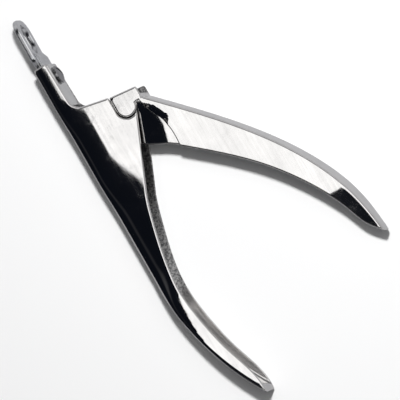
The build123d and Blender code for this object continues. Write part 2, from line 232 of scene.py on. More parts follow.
def wall_normals(line):
    """For each segment of a line, the normals at its two ends: smooth but for sharp turns."""
    p = np.asarray(line, float)
    run = np.diff(p, axis=0)
    run /= np.linalg.norm(run, axis=1)[:, None]
    own = np.stack([-run[:, 1], run[:, 0]], axis=1)
    pairs = []
    for k in range(len(own)):
        ends = []
        for other in (k - 1, k + 1):
            near = own[other] if 0 <= other < len(own) else own[k]
            blend = own[k] + near if own[k] @ near > 0.8 else own[k]
            ends.append(blend / np.linalg.norm(blend))
        pairs.append(ends)
    return pairs


def unpolished_and_shaded(points):
    """How rough an inner side is left and how dark painted shade makes it: fully in the channel, hardly
    towards the ends of the grips.
    """
    return 1 - GRIP_POLISH_AND_LIGHT * smoothstep(*POLISH_AND_LIGHT_STARTS, np.asarray(points)[:, 0])


class Shell:
    """One half of a symmetric part, above the middle plane, which is then mirrored through it."""

    def __init__(self):
        self.points = []
        self.wear = []
        self.hidden = []
        self.faces = []
        self.normals = []

    def add(self, flat, heights, wear=0.0, hidden=0.0):
        """Adds points, with their rim wear and how far they are on an inner side; returns their indices."""
        first = len(self.points)
        worn = np.broadcast_to(wear, (len(flat),))
        inner = np.broadcast_to(hidden, (len(flat),))
        for p, z, w, i in zip(flat, heights, worn, inner):
            self.points.append((p[0], p[1], float(z)))
            self.wear.append(float(w))
            self.hidden.append(float(i))
        return list(range(first, len(self.points)))

    def face(self, corners, normals):
        """Adds a face with a normal for each of its corners."""
        self.faces.append(tuple(corners))
        self.normals.append([tuple(n) for n in normals])

    def field(self, flat, triangles, heights, normals, wear, upward=True):
        """A surface over triangles of the plane; returns the index of each point."""
        at = self.add(flat, heights, wear, 0.0 if upward else unpolished_and_shaded(flat))
        for t in triangles:
            order = t if upward else t[::-1]
            self.face([at[k] for k in order], [normals[k] if upward else -normals[k] for k in order])
        return at

    def wall(self, upper, lower, line, out=True):
        """Quads between two rows of points over a line, facing to its right, or to its left."""
        for k, (first, last) in enumerate(wall_normals(line)):
            a = (*(-first if out else first), 0)
            b = (*(-last if out else last), 0)
            corners = (lower[k], lower[k + 1], upper[k + 1], upper[k])
            normals = (a, b, b, a)
            self.face(corners if out else corners[::-1], normals if out else normals[::-1])

    def object(self, name, place=None):
        """The mesh of both halves; place turns (x, y, height) in mm into a frame point in mm."""
        place = place or (lambda x, y, z: (x, y, MIDDLE + z))
        points = list(self.points)
        wear = list(self.wear)
        hidden = list(self.hidden)
        partner = []
        for k, (x, y, z) in enumerate(self.points):
            if abs(z) < 1e-6:
                partner.append(k)
            else:
                partner.append(len(points))
                points.append((x, y, -z))
                wear.append(wear[k])
                hidden.append(hidden[k])
        faces = list(self.faces)
        normals = [n for group in self.normals for n in group]
        for corners, group in zip(self.faces, self.normals):
            faces.append(tuple(partner[c] for c in corners[::-1]))
            normals.extend((n[0], n[1], -n[2]) for n in group[::-1])
        origin = Vector(place(0, 0, 0))
        turned = [Vector(place(*n)) - origin for n in normals]
        placed = [Vector(place(*p)) * MM for p in points]
        right, ahead, up = (Vector(place(*axis)) - origin for axis in ((1, 0, 0), (0, 1, 0), (0, 0, 1)))
        if right.cross(ahead).dot(up) < 0:
            start = 0
            flipped = []
            for corners in faces:
                flipped.extend(turned[start:start + len(corners)][::-1])
                start += len(corners)
            faces = [f[::-1] for f in faces]
            turned = flipped
        return new_piece(name, placed, faces, turned, wear, hidden)


def new_piece(name, points, faces, normals, wear, hidden):
    """A mesh object that keeps each point's rim wear and how far it is on an inner side."""
    mesh = bpy.data.meshes.new(name)
    mesh.from_pydata([tuple(p) for p in points], [], faces)
    mesh.polygons.foreach_set("use_smooth", [True] * len(mesh.polygons))
    for attribute, values in (("rim_wear", wear), ("inner_side", hidden)):
        layer = mesh.attributes.new(attribute, "FLOAT", "POINT")
        layer.data.foreach_set("value", np.array(values, np.float32))
    mesh.normals_split_custom_set([tuple(n) for n in normals])
    mesh.update()
    piece = bpy.data.objects.new(name, mesh)
    bpy.context.scene.collection.objects.link(piece)
    return piece


def outward_at(loop):
    """Outward normal at each point of a closed counter-clockwise loop."""
    p = np.asarray(loop, float)
    before = p - np.roll(p, 1, axis=0)
    after = np.roll(p, -1, axis=0) - p
    before /= np.maximum(np.linalg.norm(before, axis=1), 1e-9)[:, None]
    after /= np.maximum(np.linalg.norm(after, axis=1), 1e-9)[:, None]
    run = before + after
    run /= np.maximum(np.linalg.norm(run, axis=1), 1e-9)[:, None]
    return np.stack([run[:, 1], -run[:, 0]], axis=1)


def signed(points, line, loop):
    """Distance from a boundary line, negative just beyond it; positive on the rest of the loop."""
    gap = distance_in_parts(points, line)
    beyond = ~inside_in_parts(points, loop) & (gap < JUST_BEYOND)
    return np.where(beyond, -gap, gap)


def in_parts(function, points, other, size=4000):
    """A function of many points, worked out for some of them at a time to save memory."""
    starts = range(0, max(len(points), 1), size)
    pieces = [function(points[k:k + size], other) for k in starts]
    return np.concatenate(pieces)


def distance_in_parts(points, line):
    return in_parts(distance, points, line)


def inside_in_parts(points, loop):
    return in_parts(inside, points, loop)


def grid_points(loop, spacing):
    """Points of a staggered grid over the box of a loop, those inside it."""
    p = np.asarray(loop)
    low, high = p.min(axis=0), p.max(axis=0)
    found = []
    for k, y in enumerate(np.arange(low[1], high[1], spacing * 0.866)):
        xs = np.arange(low[0] + (k % 2) * spacing / 2, high[0], spacing)
        found.extend((x, y) for x in xs)
    found = np.array(found)
    return found[inside_in_parts(found, loop)]


def edge_rows(line, depths, loop, others, clear):
    """Rows of points that follow a boundary line at some depths inside it, clear of other lines."""
    p = np.asarray(line, float)
    n = normals_of(line)
    kept = []
    for depth in depths:
        row = p + n * depth
        row = row[inside_in_parts(row, loop)]
        for other in others:
            row = row[distance_in_parts(row, other) > clear(depth)]
        kept.append(row)
    return np.concatenate(kept)


CORNER_TURNS = (4, 9, 15, 22, 30, 39, 49, 60, 72, 86)
INNER_TURNS = (15, 30, 49, 72)
RIM_TURNS = (18, 36, 54, 72, 90)
ROW_STEP = 1.2          # spacing of the points along a row
ROW_GAP = 0.12          # least gap between a rim's rows and the rest
INNER_COARSER = 1.3     # spacing of the points on an inner side, against the outer
INNER_RADIUS = 0.4      # least radius of a fold's inner corner
JUST_BEYOND = 0.05      # how far outside a line a point still counts as just beyond it
WORN_REACH = 0.4        # how far in from a rim the wear fades


def corner_depths(radius, turns):
    """Depths inside an edge at which a rounded corner has turned by these angles."""
    return [radius * (1 - math.cos(math.radians(turn))) for turn in turns]


def nearly_all(depth):
    """Clearance that keeps a row's points off other stretches of its own edge."""
    return depth * 0.9


def past_rim(rim_radius):
    """Distance from a rim at which the rows that round it are over."""
    return rim_radius * 1.2


def sheet_side(fold, rim, height, corner_radius, rim_radius, spacing, outer, guides=()):
    """Flat points, triangles, heights, normals and boundary rows of one side of a folded sheet.

    fold is the line where the sheet turns to the other cheek, and rim the line of its free edge.
    guides are further points for the mesh to pass through where the surface bends.
    """
    loop = list(fold) + list(rim[1:-1]) if fold else list(rim[:-1])
    closed = loop + [loop[0]]
    rim_depths = corner_depths(rim_radius, RIM_TURNS)
    rows = [edge_rows(dense(rim, ROW_STEP), rim_depths, loop, [closed], nearly_all)]
    clear = past_rim(rim_radius) + ROW_GAP
    if fold:
        deepest = distance_in_parts(np.asarray(rim), fold).max()
        depths = corner_depths(corner_radius, CORNER_TURNS if outer else INNER_TURNS)
        depths += list(np.arange(corner_radius + spacing / 2, deepest, spacing))
        rows.append(edge_rows(dense(fold, ROW_STEP), depths, loop, [rim], lambda depth: clear))
    else:
        grid = grid_points(loop, spacing)
        rows.append(grid[distance_in_parts(grid, rim) > clear])
    if len(guides):
        near = np.asarray(guides)
        near = near[inside_in_parts(near, loop)]
        rows.append(near[distance_in_parts(near, closed) > clear])
    flat, triangles, edge = mesh_region([loop], [tuple(p) for p in np.concatenate(rows)])

    def surface(points):
        from_fold = signed(points, fold, loop) if fold else None
        return height(points, from_fold, signed(points, rim, loop))

    normals = field_normals(flat, surface)
    outward = outward_at(loop)
    for k, index in enumerate(edge):
        facing = 1 if outer or k < len(fold) else -1
        normals[index] = (*(facing * outward[k]), 0)
    wear = np.exp(-distance_in_parts(flat, rim) / WORN_REACH)
    return flat, triangles, surface(flat), normals, wear, edge


def meet(line, other):
    """Where a line first crosses another, as the segment of the other and the point, or None."""
    for a, b in zip(line[:-1], line[1:]):
        for k, (c, d) in enumerate(zip(other[:-1], other[1:])):
            across = (b[0] - a[0]) * (d[1] - c[1]) - (b[1] - a[1]) * (d[0] - c[0])
            if abs(across) < 1e-12:
                continue
            t = ((c[0] - a[0]) * (d[1] - c[1]) - (c[1] - a[1]) * (d[0] - c[0])) / across
            u = ((c[0] - a[0]) * (b[1] - a[1]) - (c[1] - a[1]) * (b[0] - a[0])) / across
            if 0 <= t <= 1 and 0 <= u <= 1:
                return k, (a[0] + (b[0] - a[0]) * t, a[1] + (b[1] - a[1]) * t)
    return None


def inner_fold(fold, rim, sheet):
    """The fold's inner line, cut at the rim, and the rim with both meeting points in it."""
    p = np.asarray(fold)
    line = [tuple(q) for q in p + normals_of(fold) * sheet]
    reach = 3 * sheet

    def lengthened(a, b):
        gap = math.dist(a, b)
        return (a[0] + (a[0] - b[0]) * reach / gap, a[1] + (a[1] - b[1]) * reach / gap)

    line = [lengthened(line[0], line[1])] + line[1:-1] + [lengthened(line[-1], line[-2])]
    halfway = len(rim) // 2
    last, first_point = meet(line, rim[halfway:])
    last += halfway
    beside = (1, tuple((np.array(rim[1]) + rim[2]) / 2))
    crossing = meet(line[::-1], rim[:halfway])
    first, last_point = crossing or beside
    if not crossing:
        line[-1] = last_point
    new_rim = rim[:first + 1] + [last_point] + rim[first + 1:last + 1] + [first_point] + rim[last + 1:]
    loop = fold + rim[1:-1]
    kept = [q for q in line if inside([q], loop)[0]]
    kept = [q for q in kept if min(math.dist(q, first_point), math.dist(q, last_point)) > 0.1]
    return [first_point] + kept + [last_point], new_rim, first + 1, last + 2


def folded_sheet(shell, fold, rim, sheet, outer, inner, corner_radius, rim_radius, spacing, guides=()):
    """Adds one cheek of a folded sheet: outer and inner surface, rim, and both halves of the fold."""
    inner_line, rim, first, last = inner_fold(fold, rim, sheet)
    flat, triangles, z, n, wear, edge = sheet_side(
        fold, rim, outer, corner_radius, rim_radius, spacing, True, guides
    )
    top = shell.field(flat, triangles, z, n, wear)
    boundary = [top[k] for k in edge]
    fold_top = boundary[:len(fold)]
    rim_top = boundary[len(fold) - 1:] + [boundary[0]]
    inner_radius = max(corner_radius - sheet, INNER_RADIUS)
    flat, triangles, z, n, wear, edge = sheet_side(
        inner_line, rim[first:last + 1], inner, inner_radius,
        rim_radius, spacing * INNER_COARSER, False, guides,
    )
    low = shell.field(flat, triangles, z, n, wear, upward=False)
    boundary = [low[k] for k in edge]
    inner_top = boundary[:len(inner_line)]
    rim_low = boundary[len(inner_line) - 1:] + [boundary[0]]
    fold_middle = shell.add(fold, [0] * len(fold))
    inner_middle = shell.add(inner_line, [0] * len(inner_line), 0.0, unpolished_and_shaded(inner_line))
    shell.wall(fold_top, fold_middle, fold)
    shell.wall(inner_top, inner_middle, inner_line, out=False)
    shell.wall(rim_top[first:last + 1], rim_low, rim[first:last + 1])
    start = shell.add(rim[1:first], [0] * (first - 1))
    shell.wall(rim_top[:first + 1], [fold_middle[-1], *start, inner_middle[-1]], rim[:first + 1])
    end = shell.add(rim[last + 1:-1], [0] * (len(rim) - last - 2))
    shell.wall(rim_top[last:], [inner_middle[0], *end, fold_middle[0]], rim[last:])


def flat_sheet(shell, rim, high, low, rim_radius, spacing, dish):
    """Adds a sheet between two heights, with rounded rims, both sides lowered by a dish."""
    loop = rim + [rim[0]]
    sides = []
    for level, sign in ((high, 1), (low, -1)):
        def height(points, _, from_rim, level=level, sign=sign):
            return level - dish(points) - sign * rim_radius * quarter(from_rim, rim_radius)
        flat, triangles, z, n, wear, edge = sheet_side([], loop, height, 0, rim_radius, spacing, sign > 0)
        at = shell.field(flat, triangles, z, n, wear, upward=sign > 0)
        sides.append([at[k] for k in edge])
    shell.wall(sides[0] + sides[0][:1], sides[1] + sides[1][:1], loop)


def plate(name, loops, half, rim_radius, spacing, place):
    """A flat plate about its own middle plane: outline first, then holes, all counter-clockwise."""
    shell = Shell()
    rims = [loops[0]] + [hole[::-1] for hole in loops[1:]]
    closed = [rim + [rim[0]] for rim in rims]
    rows = []
    for rim in closed:
        depths = corner_depths(rim_radius, RIM_TURNS)
        rows.append(edge_rows(rim, depths, rims[0], [rim], nearly_all))
    grid = grid_points(rims[0], spacing)
    for rim in closed:
        grid = grid[distance_in_parts(grid, rim) > past_rim(rim_radius) + spacing * 0.3]
    rows.append(grid)
    extra = np.concatenate(rows)
    for hole in rims[1:]:
        extra = extra[~inside_in_parts(extra, hole)]
    flat, triangles, edge = mesh_region(rims, [tuple(p) for p in extra])

    def surface(points):
        gap = np.min([distance_in_parts(points, rim) for rim in closed], axis=0)
        return half - rim_radius * quarter(gap, rim_radius)

    normals = field_normals(flat, surface)
    outward = np.concatenate([outward_at(rim) for rim in rims])
    for k, index in enumerate(edge):
        normals[index] = (*outward[k], 0)
    gap = np.min([distance_in_parts(flat, rim) for rim in closed], axis=0)
    top = shell.field(flat, triangles, surface(flat), normals, np.exp(-gap / WORN_REACH))
    start = 0
    for rim, line in zip(rims, closed):
        upper = [top[k] for k in edge[start:start + len(rim)]]
        middle = shell.add(rim, [0] * len(rim))
        shell.wall(upper + upper[:1], middle + middle[:1], line)
        start += len(rim)
    return shell.object(name, place)


def swept_wire(name, path, radius):
    """A round wire along a path of frame points in mm, closed by domed ends."""
    sides = WIRE_SIDES
    p = np.asarray(path, float)
    run = np.gradient(p, axis=0)
    run /= np.linalg.norm(run, axis=1)[:, None]
    across = np.cross(run[0], WIRE_ASIDE)
    across /= np.linalg.norm(across)
    points, normals = [], []
    angles = np.linspace(0, 2 * math.pi, sides, endpoint=False)
    for at, along in zip(p, run):
        across = across - along * (across @ along)
        across /= np.linalg.norm(across)
        other = np.cross(along, across)
        for angle in angles:
            out = across * math.cos(angle) + other * math.sin(angle)
            points.append((at + out * radius) * MM)
            normals.append(out)
    faces = []
    for k in range(len(p) - 1):
        for side in range(sides):
            following = (side + 1) % sides
            faces.append((
                k * sides + side, k * sides + following,
                (k + 1) * sides + following, (k + 1) * sides + side,
            ))
    for end, along in ((0, -run[0]), (len(p) - 1, run[-1])):
        points.append((p[end] + along * radius * WIRE_DOME) * MM)
        normals.append(along)
        tip = len(points) - 1
        for side in range(sides):
            a, b = end * sides + side, end * sides + (side + 1) % sides
            faces.append((b, a, tip) if end == 0 else (a, b, tip))
    corner_normals = [normals[c] for face in faces for c in face]
    plain = [0.0] * len(points)
    return new_piece(name, points, faces, corner_normals, plain, plain)


# ---------------------------------------------------------------- sizes of the part, in mm

HALF_WIDTH = 6.5
BACK_Y = -3.8
RIVET_PROUD = 0.04
HEAD_END_X = -24.2
HANDLE_BEND_X = 50.0
HANDLE_TIP = (97.2, 10.0)
PALM_EDGE = [(91.0, 9.6), (80.0, 6.1), (68.0, 3.2), (57.0, 1.9), (46.0, 3.0), (34.0, 5.8), (25.0, 8.8)]
NOTCH_RADIUS = 3.5
NOTCH_LIP = 45.0
STOP_LIP = (-5.2, 12.5)
FRONT_FOOT = (-6.9, 4.6)
THROAT_END = (-10.4, 1.1)
HEAD_EDGE_Y = 0.6

TONGUE_RADIUS = 3.2
TONGUE_ARC_END = 84.0
TONGUE_FOOT = (-5.0, 12.8)
TONGUE_SHOULDER = (0.2, 20.4)
LEVER_FRONT = (-4.0, 21.8)
LEVER_SPINE = [(-0.4, 21.9), (8.9, 31.0), (23.6, 44.3), (40.4, 56.3), (60.4, 64.6), (72.8, 66.4)]
LEVER_UNDERSIDE = [(68.4, 62.8), (61.9, 60.2), (48.1, 53.0), (36.5, 44.0), (26.1, 33.2)]
STEP_EDGE = [(18.7, 24.5), (12.0, 24.4), (8.2, 23.2), (4.2, 21.3)]
ARM_TOP = [(19.0, 25.4), (12.0, 26.0), (8.2, 24.9), (4.2, 22.9), (0.2, 21.6), (-4.1, 20.9)]
ARM_FRONT = (-4.6, 11.0)
ARM_REAR = (13.6, 16.0)
LEVER_HEEL = (16.2, 21.3)
ARM_TURN = 18.0
ARM_SHOULDER = 11.5
FORK_REACH = 17.6
FORK_HALF = 2.65
FORK_ROUND = 15.85
FORK_SLOT_HALF = 1.15

BODY_SHEET = 1.0
LEVER_SHEET = 1.2
LEVER_HALF = 6.45
ARM_HIGH = 5.35
BODY_CORNER = 2.4
SPINE_CORNER = 0.8
SPINE_INNER = 0.4
TIP_TURN_X = 54.8
TIP_SLOPE = 0.13
TIP_BLEND = 1.0
DISH_LINE = [(-6.0, 22.0), (4.9, 22.6), (10.2, 22.9), (15.5, 21.6), (22.0, 20.0)]
DISH_ABOVE = [(30, 40), (-10, 40)]
DISH_SLOPE = 0.15
DISH_BLEND = 0.4
DISH_FADE_Y = (7, 14)
DISH_FADE_X = (-1, 4)
SHEET_RIM = 0.6
INNER_RIM = 0.25
OUTLINE_STEP = 0.9
OUTLINE_SOFT = 0.5      # rounding of an outline's corners
LIP_SOFT = 0.35
PLATE_STEP = 0.8
PLATE_SOFT = 0.8
SHELL_SPACING = 0.8
ARM_SPACING = 0.7
STEP_SHARES = (0.15, 0.3, 0.45, 0.6, 0.75, 0.9, 1.05)
# How much the inner sides' roughness and painted shade fade towards the grip ends, and over which x
GRIP_POLISH_AND_LIGHT = 0.85
POLISH_AND_LIGHT_STARTS = (54, 64)
INNER_DROP = 0.3
INNER_CROWN = (16, 30)
INNER_REACH = 0.6

# Sizes that change along x: a first value, then each change with the stretch of x it happens over.
CROWN_REACH = (3.1, [(5.4, -14, -5), (6.5, 9, 25), (-10.6, 46, 60), (-3.2, 56, 76)])
CROWN_DROP = (0.9, [(1.0, -13, 3), (1.3, 14, 30), (-2.2, 48, 64), (-0.5, 64, 90)])
RAMP_WIDTH = (0.35, [(2.2, 0.5, 4.5), (-2.2, 8.0, 11.5)])


def along_x(size, x):
    """A size that changes along x, at each x."""
    first, changes = size
    return first + sum(change * smoothstep(low, high, x) for change, low, high in changes)


def polar(centre, radius, angle):
    """The point of a circle at an angle in degrees."""
    turn = math.radians(angle)
    return (centre[0] + radius * math.cos(turn), centre[1] + radius * math.sin(turn))


def softened(points, radius):
    """A polyline whose inner corners are rounded."""
    result = [points[0]]
    for before, at, after in zip(points[:-2], points[1:-1], points[2:]):
        result.extend(corner(before, at, after, radius))
    result.append(points[-1])
    return result


# ---- body and fixed handle
fold_y = BACK_Y + RIVET_PROUD
bend = tangent_arc((HANDLE_BEND_X, fold_y), (1, 0), HANDLE_TIP, 48)
body_fold = dense([(HEAD_END_X, fold_y), (HANDLE_BEND_X, fold_y)], ROW_STEP) + bend[1:]
palm = smooth_curve([HANDLE_TIP] + PALM_EDGE, 1.0, (-1, 0.12), (-1, 0.47))
lip = polar(PIVOT, NOTCH_RADIUS, NOTCH_LIP)
notch = arc(PIVOT, NOTCH_RADIUS, NOTCH_LIP, -90, 5)
front_run = (FRONT_FOOT[0] - STOP_LIP[0], FRONT_FOOT[1] - STOP_LIP[1])
throat = tangent_arc(FRONT_FOOT, front_run, THROAT_END, 18)
body_rim = dense(
    palm
    + softened([palm[-1], lip, notch[1]], LIP_SOFT)[1:]
    + notch[2:-1]
    + softened([notch[-2], notch[-1], STOP_LIP, FRONT_FOOT], OUTLINE_SOFT)[1:-1]
    + dense([STOP_LIP, FRONT_FOOT], 0.8)[1:]
    + throat[1:]
    + softened([THROAT_END, (HEAD_END_X, HEAD_EDGE_Y), (HEAD_END_X, fold_y)], OUTLINE_SOFT)[1:],
    OUTLINE_STEP,
)


def body_outer(points, from_fold, from_rim):
    """Outside of the cheek, crowned towards the back: little at the head, most in the middle."""
    x = points[:, 0]
    crown = along_x(CROWN_DROP, x) * quarter(from_fold, along_x(CROWN_REACH, x))
    return HALF_WIDTH - crown - SHEET_RIM * quarter(from_rim, SHEET_RIM)


def body_inner(points, from_fold, from_rim):
    """Inside of the cheek: plain beside the blade and the arms, crowned like the outside behind them."""
    x = points[:, 0]
    crown = np.maximum(along_x(CROWN_DROP, x) - CROWN_DROP[0], 0) * smoothstep(*INNER_CROWN, x)
    reach = np.maximum(along_x(CROWN_REACH, x) - BODY_SHEET, INNER_REACH)
    rounded = (INNER_DROP + crown) * quarter(from_fold, reach)
    return HALF_WIDTH - BODY_SHEET - rounded + INNER_RIM * quarter(from_rim, INNER_RIM)


body_shell = Shell()
folded_sheet(
    body_shell, body_fold, body_rim, BODY_SHEET, body_outer, body_inner,
    BODY_CORNER, SHEET_RIM, SHELL_SPACING,
)
body = body_shell.object("body_shell")

# ---- lever: the wide channel with the tongue at its root, and the arms stepped in below it
spine = smooth_curve(LEVER_SPINE[::-1], 1.0)
step = smooth_curve([TONGUE_SHOULDER] + STEP_EDGE[::-1], 0.6)
underside = smooth_curve([STEP_EDGE[0]] + LEVER_UNDERSIDE[::-1] + [LEVER_SPINE[-1]], 1.0)
bearing = arc(PIVOT, TONGUE_RADIUS, -90, TONGUE_ARC_END, 5)
lever_rim = dense(
    softened([LEVER_SPINE[0], LEVER_FRONT, TONGUE_FOOT, bearing[0]], OUTLINE_SOFT)
    + bearing[1:] + [TONGUE_SHOULDER] + step[1:] + underside[1:],
    OUTLINE_STEP,
)


def soft_ramp(value, blend):
    """0 below zero and value above it, blended over a short run."""
    return (value + np.sqrt(value**2 + blend**2)) / 2


def lever_drop(points):
    """Fall of the cheek to the arms at its root, and its turn towards the tip."""
    x = points[:, 0]
    share = np.clip(distance_in_parts(points, step) / along_x(RAMP_WIDTH, x), 0, 1)
    root = (LEVER_HALF - ARM_HIGH) * (1 - smoothstep(0, 1, share))
    return root + TIP_SLOPE * soft_ramp(x - TIP_TURN_X, TIP_BLEND)


def lever_outer(points, from_fold, from_rim):
    """Outside of the lever's cheek."""
    rounded = SPINE_CORNER * quarter(from_fold, SPINE_CORNER) + SHEET_RIM * quarter(from_rim, SHEET_RIM)
    return LEVER_HALF - rounded - lever_drop(points)


def lever_inner(points, from_fold, from_rim):
    """Inside of the lever's cheek."""
    rounded = SPINE_INNER * quarter(from_fold, SPINE_INNER) - INNER_RIM * quarter(from_rim, INNER_RIM)
    return LEVER_HALF - LEVER_SHEET - rounded - lever_drop(points)


def arm_dish(points):
    """Fall of the arms' faces from the step towards the pivot, back to full height at the fork."""
    side = np.where(inside_in_parts(points, DISH_LINE + DISH_ABOVE), -1, 1)
    below = distance_in_parts(points, DISH_LINE) * side
    fade = smoothstep(*DISH_FADE_Y, points[:, 1]) * smoothstep(*DISH_FADE_X, points[:, 0])
    return DISH_SLOPE * soft_ramp(below, DISH_BLEND) * fade


def on_arm(across, down):
    """A point given across and along the arm, from the pivot."""
    turn = math.radians(ARM_TURN)
    return (
        PIVOT[0] + across * math.cos(turn) + down * math.sin(turn),
        PIVOT[1] + across * math.sin(turn) - down * math.cos(turn),
    )


fork_slot = [
    on_arm(FORK_SLOT_HALF * math.cos(a), FORK_ROUND - FORK_SLOT_HALF * math.sin(a))
    for a in np.linspace(math.pi, 0, 15)
]
arm_rim = softened(
    [
        *smooth_curve(ARM_TOP, 1.0)[1:],
        ARM_FRONT,
        on_arm(-FORK_HALF, ARM_SHOULDER),
        on_arm(-FORK_HALF, FORK_REACH),
        on_arm(-FORK_SLOT_HALF, FORK_REACH),
    ],
    OUTLINE_SOFT,
) + fork_slot + softened(
    [
        on_arm(FORK_SLOT_HALF, FORK_REACH),
        on_arm(FORK_HALF, FORK_REACH),
        on_arm(FORK_HALF, ARM_SHOULDER),
        ARM_REAR,
        LEVER_HEEL,
        ARM_TOP[0],
    ],
    OUTLINE_SOFT,
)
step_line = np.asarray(step)
step_reach = normals_of(step) * along_x(RAMP_WIDTH, step_line[:, 0])[:, None]
step_rows = np.concatenate([step_line + step_reach * share for share in STEP_SHARES])
lever_shell = Shell()
folded_sheet(
    lever_shell, spine, lever_rim, LEVER_SHEET, lever_outer, lever_inner,
    SPINE_CORNER, SHEET_RIM, SHELL_SPACING, step_rows,
)
flat_sheet(
    lever_shell, dense(arm_rim, ROW_STEP), ARM_HIGH, ARM_HIGH - LEVER_SHEET,
    SHEET_RIM, ARM_SPACING, arm_dish,
)
lever = lever_shell.object("lever_shell")

# ---- nail ring
RING_BACK_Y = -2.8
RING_THICK = 1.7
RING_TIP_X = -41.0
RING_OUTER = 6.3
RING_CORNER = 4.6
RING_HOLE_HALF = 4.2
RING_HOLE = (-39.2, -29.3)
RING_NECK_X = -27.0
RING_SHOULDER_X = -24.6
RING_REAR_X = -18.3
RING_SHANK_HALF = 4.9
RING_RIM = 0.55
RING_SPACING = 0.9

tip_middle = RING_TIP_X + RING_CORNER
corner_y = RING_OUTER - RING_CORNER
shank = [
    (RING_NECK_X, -RING_OUTER),
    (RING_SHOULDER_X, -RING_SHANK_HALF),
    (RING_REAR_X, -RING_SHANK_HALF),
    (RING_REAR_X, RING_SHANK_HALF),
    (RING_SHOULDER_X, RING_SHANK_HALF),
    (RING_NECK_X, RING_OUTER),
]
ring_tip = (
    arc((tip_middle, corner_y), RING_CORNER, 90, 180, 5)
    + arc((tip_middle, -corner_y), RING_CORNER, 180, 270, 5)
)
ring_sides = softened([ring_tip[-1], *shank, ring_tip[0]], PLATE_SOFT)
ring_loop = dense(ring_tip + ring_sides[1:], PLATE_STEP)[:-1]
hole_left = RING_HOLE[0] + RING_HOLE_HALF
hole_right = RING_HOLE[1] - RING_HOLE_HALF
ring_hole = (
    arc((hole_left, 0), RING_HOLE_HALF, 90, 270, 6)
    + arc((hole_right, 0), RING_HOLE_HALF, -90, 90, 6)
)
ring = plate(
    "ring_plate", [ring_loop, ring_hole], RING_THICK / 2, RING_RIM, RING_SPACING,
    lambda x, y, h: (x, RING_BACK_Y + RING_THICK / 2 + h, MIDDLE + y),
)

# ---- cover plate
COVER_BACK_Y = -0.05
COVER_THICK = 1.0
COVER_REAR_X = -9.2
COVER_HALF = 5.3
COVER_SCREW_X = -20.0
COVER_HOLE = 1.0
COVER_RIM = 0.42
COVER_SPACING = 1.0
cover_loop = softened(
    [
        (COVER_SCREW_X, -COVER_HALF), (COVER_REAR_X, -COVER_HALF), (COVER_REAR_X, COVER_HALF),
        (HEAD_END_X, COVER_HALF), (HEAD_END_X, -COVER_HALF), (COVER_SCREW_X, -COVER_HALF),
    ],
    PLATE_SOFT,
)
cover_hole = arc((COVER_SCREW_X, 0), COVER_HOLE, 0, 360, 20)[:-1]
cover = plate(
    "cover_strip", [dense(cover_loop, PLATE_STEP)[:-1], cover_hole],
    COVER_THICK / 2, COVER_RIM, COVER_SPACING,
    lambda x, y, h: (x, COVER_BACK_Y + COVER_THICK / 2 + h, MIDDLE + y),
)

# ---- return spring: a loop round the drive pin, the coil and a loop round the stud
WIRE = 0.25
WIRE_SIDES = 14
WIRE_DOME = 0.6         # height of a wire's domed end, as a share of its radius
WIRE_ASIDE = (0.0, 0.3, 1.0)
COIL_RADIUS = 1.75
COIL_START_X = 11.0
COIL_PITCH = 0.9
COIL_TURNS = 16
PIN_X = PIVOT[1] * math.tan(math.radians(ARM_TURN))
STUD_X = 34.0
PIN_LOOP = 1.35
STUD_LOOP = 1.15
COIL_STEPS = 20
pin_loop = [(PIN_X + x, y, MIDDLE) for x, y in arc((0, 0), PIN_LOOP, 390, 90, 10)]
turns = [k / COIL_STEPS for k in range(COIL_STEPS * COIL_TURNS + 1)]
coil = [
    (
        COIL_START_X + COIL_PITCH * turn,
        -COIL_RADIUS * math.sin(2 * math.pi * turn),
        MIDDLE + COIL_RADIUS * math.cos(2 * math.pi * turn),
    )
    for turn in turns
]
stud_loop = [(STUD_X - x, 0, MIDDLE + y) for x, y in arc((0, 0), STUD_LOOP, 90, 390, 10)]


def joined(a, a_run, b, b_run, count=16):
    """Cubic from a to b with the given directions."""
    a, b, a_run, b_run = (np.array(v, float) for v in (a, b, a_run, b_run))
    length = np.linalg.norm(b - a)
    result = []
    for k in range(1, count):
        t = k / count
        result.append(tuple(
            (2 * t**3 - 3 * t**2 + 1) * a + (t**3 - 2 * t**2 + t) * a_run * length
            + (3 * t**2 - 2 * t**3) * b + (t**3 - t**2) * b_run * length
        ))
    return result


def direction(a, b):
    """Unit vector from a to b."""
    run = np.array(b) - np.array(a)
    return run / np.linalg.norm(run)


wire_path = (
    pin_loop
    + joined(pin_loop[-1], direction(*pin_loop[-2:]), coil[0], direction(*coil[:2]))
    + coil
    + joined(coil[-1], direction(*coil[-2:]), stud_loop[0], direction(*stud_loop[:2]))
    + stud_loop
)
spring = swept_wire("spring_wire", wire_path, WIRE)

# ---------------------------------------------------------------- materials


def node(tree, kind, **settings):
    """A new node, with some of its settings given by name."""
    made = tree.nodes.new(kind)
    for key, value in settings.items():
        setattr(made, key, value)
    return made


def noise(tree, coordinates, scale, detail=3.0, rough=0.55, stretch=(1, 1, 1), turn=(0, 0, 0)):
    """Noise on the object's own coordinates, in metres, stretched along an axis."""
    mapping = node(tree, "ShaderNodeMapping")
    mapping.inputs["Rotation"].default_value = turn
    mapping.inputs["Scale"].default_value = stretch
    texture = node(tree, "ShaderNodeTexNoise")
    texture.inputs["Scale"].default_value = scale
    texture.inputs["Detail"].default_value = detail
    texture.inputs["Roughness"].default_value = rough
    tree.links.new(coordinates, mapping.inputs["Vector"])
    tree.links.new(mapping.outputs["Vector"], texture.inputs["Vector"])
    return texture.outputs["Fac"]


def ranged(tree, value, low, high, to_low, to_high):
    """A value carried from one range to another, and held to it."""
    made = node(tree, "ShaderNodeMapRange")
    for name, number in (("From Min", low), ("From Max", high), ("To Min", to_low), ("To Max", to_high)):
        made.inputs[name].default_value = number
    tree.links.new(value, made.inputs["Value"])
    return made.outputs["Result"]


